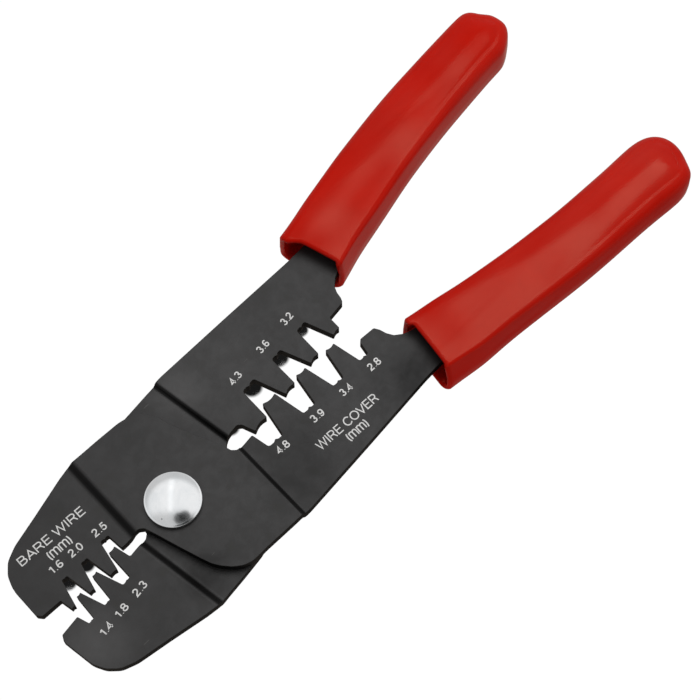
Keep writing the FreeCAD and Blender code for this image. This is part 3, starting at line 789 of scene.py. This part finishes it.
# Stroke lettering on a cap height of 1: advance width, then the strokes' centre lines.
GLYPHS = {
    "0": (0.70, [arc(0.31, 0.50, 0.25, 0.46, 90, 450, 28)]),
    "1": (0.56, [[(0.37, 0.0), (0.37, 0.96)], [(0.36, 0.94), (0.28, 0.82), (0.12, 0.75)]]),
    "2": (0.70, [arc(0.30, 0.70, 0.23, 0.26, 170, -20, 14)
                 + [(0.43, 0.47), (0.14, 0.22), (0.07, 0.04), (0.56, 0.04)]]),
    "3": (0.70, [arc(0.29, 0.73, 0.21, 0.23, 165, -85, 16),
                 arc(0.30, 0.26, 0.24, 0.22, 90, -165, 18)]),
    "4": (0.70, [[(0.44, 0.0), (0.44, 0.94), (0.05, 0.27), (0.60, 0.27)]]),
    "5": (0.70, [[(0.52, 0.95), (0.16, 0.95), (0.10, 0.50)]
                 + arc(0.29, 0.32, 0.24, 0.28, 135, -160, 18)]),
    "6": (0.70, [arc(0.31, 0.285, 0.23, 0.245, 90, 450, 24),
                 [(0.08, 0.285), (0.08, 0.50), (0.11, 0.72), (0.20, 0.90), (0.32, 0.96),
                  (0.44, 0.93), (0.51, 0.85)]]),
    "8": (0.72, [arc(0.32, 0.745, 0.225, 0.225, 90, 450, 22),
                 arc(0.32, 0.270, 0.265, 0.250, 90, 450, 24)]),
    "9": (0.70, [arc(0.31, 0.66, 0.23, 0.28, 90, 450, 24),
                 [(0.54, 0.66), (0.54, 0.44), (0.50, 0.22), (0.40, 0.07), (0.28, 0.03),
                  (0.16, 0.08), (0.09, 0.20)]]),
    ".": (0.34, [[(0.16, 0.02), (0.16, 0.10)]]),
    " ": (0.34, []),
    "(": (0.36, [arc(0.62, 0.36, 0.48, 0.70, 142, 218, 14)]),
    ")": (0.36, [arc(-0.28, 0.36, 0.48, 0.70, -38, 38, 14)]),
    "m": (1.06, [[(0.10, 0.0), (0.10, 0.70)],
                 arc(0.31, 0.50, 0.21, 0.18, 180, 0, 12) + [(0.52, 0.0)],
                 arc(0.73, 0.50, 0.21, 0.18, 180, 0, 12) + [(0.94, 0.0)]]),
    "B": (0.84, [[(0.12, 0.0), (0.12, 0.95), (0.44, 0.95)]
                 + arc(0.46, 0.73, 0.21, 0.22, 90, -90, 12)[1:] + [(0.14, 0.51)],
                 [(0.14, 0.51), (0.46, 0.51)]
                 + arc(0.48, 0.275, 0.25, 0.235, 90, -90, 12)[1:] + [(0.12, 0.04)]]),
    "A": (0.86, [[(0.06, 0.0), (0.43, 0.95), (0.80, 0.0)], [(0.19, 0.30), (0.67, 0.30)]]),
    "R": (0.88, [[(0.12, 0.0), (0.12, 0.95), (0.46, 0.95)]
                 + arc(0.48, 0.70, 0.25, 0.25, 90, -90, 12)[1:] + [(0.14, 0.45)],
                 [(0.46, 0.45), (0.60, 0.36), (0.76, 0.0)]]),
    "E": (0.80, [[(0.70, 0.95), (0.12, 0.95), (0.12, 0.04), (0.72, 0.04)],
                 [(0.12, 0.51), (0.66, 0.51)]]),
    "W": (1.16, [[(0.05, 0.95), (0.30, 0.03), (0.58, 0.95), (0.86, 0.03), (1.11, 0.95)]]),
    "I": (0.34, [[(0.17, 0.0), (0.17, 0.98)]]),
    "C": (0.92, [arc(0.50, 0.49, 0.39, 0.46, 38, 322, 24)]),
    "O": (0.98, [arc(0.49, 0.49, 0.41, 0.46, 90, 450, 30)]),
    "V": (0.84, [[(0.05, 0.95), (0.42, 0.03), (0.79, 0.95)]]),
}
# text, centre x and y, width, height, in the closed-lever frame
MARKS = {
    "top": [
        ("1.6", -34.80, 8.05, 4.10, 2.40), ("2.0", -27.93, 8.10, 4.25, 2.40),
        ("2.5", -19.65, 8.14, 4.30, 2.40), ("4.8", 32.38, -8.25, 4.20, 2.40),
        ("3.9", 45.59, -7.98, 4.20, 2.40), ("3.4", 56.76, -7.78, 4.00, 2.40),
        ("2.8", 67.74, -7.48, 4.05, 2.40), ("BARE WIRE", -30.2, 15.55, 22.4, 2.85),
        ("(mm)", -30.75, 11.45, 7.6, 3.1), ("WIRE COVER", 50.4, -14.9, 22.2, 2.95),
        ("(mm)", 50.75, -18.75, 7.2, 3.0)],
    "bottom": [
        ("1.4", -37.59, -8.02, 3.95, 2.35), ("1.8", -31.45, -8.01, 4.00, 2.35),
        ("2.3", -23.97, -7.97, 4.35, 2.40), ("4.3", 38.54, 9.70, 4.15, 2.35),
        ("3.6", 50.79, 9.56, 4.00, 2.35), ("3.2", 61.63, 9.50, 3.95, 2.35)],
}
STROKE, WORD_STROKE = 0.37, 0.35         # WORD_STROKE for texts of more than four letters
INK_SINK, INK_HEIGHT = 0.01, 0.035       # ink starts below the plate's face
MITRE_LIMIT = 0.42


def ribbon(line, half):
    """Mitred band about a centre line: left points, right points, closed or not."""
    p = np.array(line, float)
    closed = length(p[0] - p[-1]) < 1e-6
    if closed:
        p = p[:-1]
    n = len(p)
    left, right = [], []
    for i in range(n):
        before = p[i] - p[i - 1] if closed or i > 0 else p[1] - p[0]
        after = p[(i + 1) % n] - p[i] if closed or i < n - 1 else before
        normals = [np.array([-d[1], d[0]]) / length(d) for d in (before, after)]
        mitre = normals[0] + normals[1]
        mitre = mitre / length(mitre)
        reach = half / max(MITRE_LIMIT, float(mitre @ normals[0]))
        left.append(p[i] + mitre * reach)
        right.append(p[i] - mitre * reach)
    return left, right, closed


def lettering(text, cx, cy, width, height):
    """Closed mesh of a text fitted to its box, its z running from 0 to 1."""
    weight = WORD_STROKE if len(text) > 4 else STROKE
    advance, lines = 0.0, []
    for letter in text:
        step, strokes = GLYPHS[letter]
        lines += [[(advance + x, y) for x, y in stroke] for stroke in strokes]
        advance += step
    points = np.array([point for line in lines for point in line])
    low, high = points.min(0), points.max(0)
    scale = (np.array([width, height]) - weight) / (high - low)
    verts, faces = [], []
    for k, line in enumerate(lines):
        fitted = (np.array(line) - (low + high) / 2) * scale + (cx, cy)
        left, right, closed = ribbon(fitted, weight / 2)
        n, base = len(left), len(verts)
        for z in (0.0, 1.0 - 0.2 * (k % 4)):     # strokes that cross never share a face
            verts += [(x, y, z) for x, y in left + right]
        # first vertex of the lower left, lower right, upper left and upper right rows
        ll, lr, ul, ur = (base + n * row for row in range(4))
        for i in range(n if closed else n - 1):
            j = (i + 1) % n
            faces += [(ul + i, ur + i, ur + j, ul + j), (ll + i, ll + j, lr + j, lr + i),
                      (ll + i, ul + i, ul + j, ll + j), (lr + i, lr + j, ur + j, ur + i)]
        if not closed:
            e = n - 1
            faces += [(ll, lr, ur, ul), (ll + e, ul + e, ur + e, lr + e)]
    return verts, faces


def marks(lever):
    verts, faces = [], []
    to_scene = lever_frame(lever)
    for item in MARKS[lever]:
        letter_verts, letter_faces = lettering(*item)
        base = len(verts)
        verts += [to_scene @ Vector((x, y, HALF_PLATE - INK_SINK + INK_HEIGHT * z))
                  for x, y, z in letter_verts]
        faces += [tuple(base + i for i in face) for face in letter_faces]
    obj = make_object(f"{lever}_lever_size_marks", verts, faces, INK, shade_smooth=False)
    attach(obj, lever)


marks("top")
marks("bottom")


# ----------------------------------------------------------------------- floor
FLOOR_HALF = 4                   # metres
WHITE = (1, 1, 1, 1)
SEEN_STRENGTH = 1.02
# floor round the nests' roots that may take painted shade: x, y from the pivot, radius (mm)
NEST_ROOTS = [(41.2, 10.6, 3.6), (52.9, 11.2, 3.6), (63.4, 12.2, 2.6), (28.3, 6.6, 3.0),
              (-33.9, 8.5, 3.0), (-26.9, 8.3, 2.8)]
OPEN_SKY_FROM, OPEN_SKY_RANGE = 0.185, 0.055     # ambient occlusion from dark to white


def sheet(name, z):
    h = FLOOR_HALF
    mesh = bpy.data.meshes.new(name)
    mesh.from_pydata([(-h, -h, z), (h, -h, z), (h, h, z), (-h, h, z)], [], [(0, 1, 2, 3)])
    obj = bpy.data.objects.new(name, mesh)
    scene.collection.objects.link(obj)
    return obj


def one_sided(g, shader):
    """Finish a floor material that is clear from below."""
    backfacing = g.new("ShaderNodeNewGeometry").outputs["Backfacing"]
    clear = g.new("ShaderNodeBsdfTransparent").outputs[0]
    g.feed(g.surface, g.mix_shader(backfacing, shader, clear))
    return g.owner


def floor_bounce():
    """Sheet that glows up at the tool in place of the floor's bounced light, dimmer and warmer in
    reflections.
    """
    obj = sheet("floor_bounce", FLOOR_Z - 0.00004)
    g = material("floor_bounce_white")
    glossy = g.new("ShaderNodeLightPath").outputs["Is Glossy Ray"]
    glow = g.new("ShaderNodeEmission", {
        "Strength": g.linear(glossy, over=(0.0, 1.0), to=(0.50, 0.42)),
        "Color": g.mix(glossy, WHITE, (1.0, 0.86, 0.74, 1))})
    obj.data.materials.append(one_sided(g, glow.outputs[0]))
    obj.visible_camera = False


def floor_seen():
    """White glowing sheet that only the camera sees; round the nests' listed roots it takes
    painted shade, darker where the plates hide more of the sky.
    """
    obj = sheet("floor_seen", FLOOR_Z - 0.00002)
    g = material("floor_seen_white")
    place = g.new("ShaderNodeNewGeometry").outputs["Position"]
    roots = []
    for x, y, radius in NEST_ROOTS:
        centre = (PIVOT.x + x * MM, PIVOT.y + y * MM, FLOOR_Z)
        distance = g.vector_math("DISTANCE", place, centre)
        fade = (radius * 0.70 * MM, radius * 1.05 * MM)
        roots.append(g.ramp(distance, over=fade, to=(1.0, 0.0)))
    white = g.new("ShaderNodeEmission", {"Strength": SEEN_STRENGTH}).outputs[0]
    # painted shade: near the roots the glow dims with ambient occlusion
    sky = g.new("ShaderNodeAmbientOcclusion", {"Distance": 0.05}, samples=128).outputs["AO"]
    openness = g.math("DIVIDE", g.minus(sky, OPEN_SKY_FROM), OPEN_SKY_RANGE)
    strength = g.ramp(openness, over=(0.0, 1.0), to=(0.009, SEEN_STRENGTH))
    shaded = g.new("ShaderNodeEmission", {"Strength": strength}).outputs[0]
    obj.data.materials.append(one_sided(g, g.mix_shader(g.maximum(roots), white, shaded)))
    obj.visible_diffuse = False
    obj.visible_glossy = False
    obj.visible_transmission = False
    obj.visible_shadow = False


floor_bounce()
floor_seen()


# ----------------------------------------------------------------------- world
# dark things in the mirrored room: direction along the view's axes (right, ahead,
# height), cosines where each begins and is full, brightness left in it
DARK_SPOTS = [((0.20, -0.46, 0.87), (0.966, 0.984), 0.12),
              ((0.37, -0.38, 0.85), (0.968, 0.986), 0.14),
              ((0.69, -0.65, 0.32), (0.80, 0.95), 0.25)]


def world():
    studio = bpy.data.worlds.new("studio")
    scene.world = studio
    g = Graph(studio, "ShaderNodeOutputWorld")
    direction = g.new("ShaderNodeTexCoord").outputs["Generated"]
    height = g.axis(direction, 2)

    def along(right, ahead, up):
        toward = from_view(right, ahead, up).normalized()
        return g.vector_math("DOT_PRODUCT", direction, toward)

    def background(strength):
        inputs = {"Color": WHITE, "Strength": strength}
        return g.new("ShaderNodeBackground", inputs).outputs[0]

    # what lights the tool: an even room, a little brighter near the horizon
    room = background(g.ramp(height, over=(0.0, 0.7), to=(0.34, 0.25)))

    # what the tool mirrors: pale walls, brighter high up and ahead, with one streak
    high = g.times(g.ramp(height, over=(0.38, 0.60), to=(0.0, 1.0)),
                   g.ramp(along(0, 1, 0), over=(-0.45, -0.05), to=(0.0, 1.0)))
    mirror = g.add(0.57, g.times(high, 0.31))
    mirror = g.minus(mirror, g.ramp(along(-1, 0, 0), over=(0.35, 0.75), to=(0.0, 0.03)))
    streak = g.math("ABSOLUTE", g.add(along(1, 0, 0), 0.15))
    streak = g.ramp(streak, over=(0.02, 0.14), to=(0.20, 0.0))
    mirror = g.add(mirror, g.times(high, streak))
    for toward, cosines, left in DARK_SPOTS:
        mirror = g.times(mirror, g.ramp(along(*toward), over=cosines, to=(1.0, left)))

    ray = g.new("ShaderNodeLightPath").outputs
    lit = g.mix_shader(ray["Is Glossy Ray"], room, background(mirror))
    g.feed(g.surface, g.mix_shader(ray["Is Camera Ray"], lit, background(1.0)))


world()


# ------------------------------------------------------------- lamp and camera
KEY_PLACE = from_view(0.10, 0.21, 0.62)  # metres; the lamp aims at the origin
KEY_SIZE = (0.60, 0.40)
KEY_RADIANCE = 2.95
CAMERA_OFFSET = Vector((-0.0789347, -0.1357362, 0.4602524))    # from the pivot
CAMERA_UP = Vector((0.682992, 0.617131, 0.390731))
FOCAL_LENGTH, SENSOR_WIDTH = 91.028571, 36.0


def pose(x, y, z, place):
    matrix = Matrix((x, y, z)).transposed().to_4x4()
    matrix.translation = place
    return matrix


def key_softbox():
    lamp = bpy.data.lights.new("key_softbox", "AREA")
    lamp.shape = "RECTANGLE"
    lamp.size, lamp.size_y = KEY_SIZE
    lamp.energy = KEY_RADIANCE * math.pi * KEY_SIZE[0] * KEY_SIZE[1]
    obj = bpy.data.objects.new("key_softbox", lamp)
    z = KEY_PLACE.normalized()
    x = (VIEW_RIGHT - z * VIEW_RIGHT.dot(z)).normalized()
    obj.matrix_world = pose(x, z.cross(x), z, KEY_PLACE)
    scene.collection.objects.link(obj)

    # the bright rivet mirrors the pale room only, not the lamp's hard outline
    left_out = bpy.data.collections.new("key_softbox_leaves_out")
    left_out.objects.link(rivet_object)
    obj.light_linking.receiver_collection = left_out
    for entry in left_out.collection_objects:
        entry.light_linking.link_state = "EXCLUDE"


def camera():
    data = bpy.data.cameras.new("camera")
    data.sensor_width = SENSOR_WIDTH
    data.lens = FOCAL_LENGTH
    data.clip_start = 0.01
    obj = bpy.data.objects.new("camera", data)
    back = VIEW_RIGHT.cross(CAMERA_UP)
    obj.matrix_world = pose(VIEW_RIGHT, CAMERA_UP, back, PIVOT + CAMERA_OFFSET)
    scene.collection.objects.link(obj)
    scene.camera = obj


key_softbox()
camera()
scene.view_settings.view_transform = "Standard"
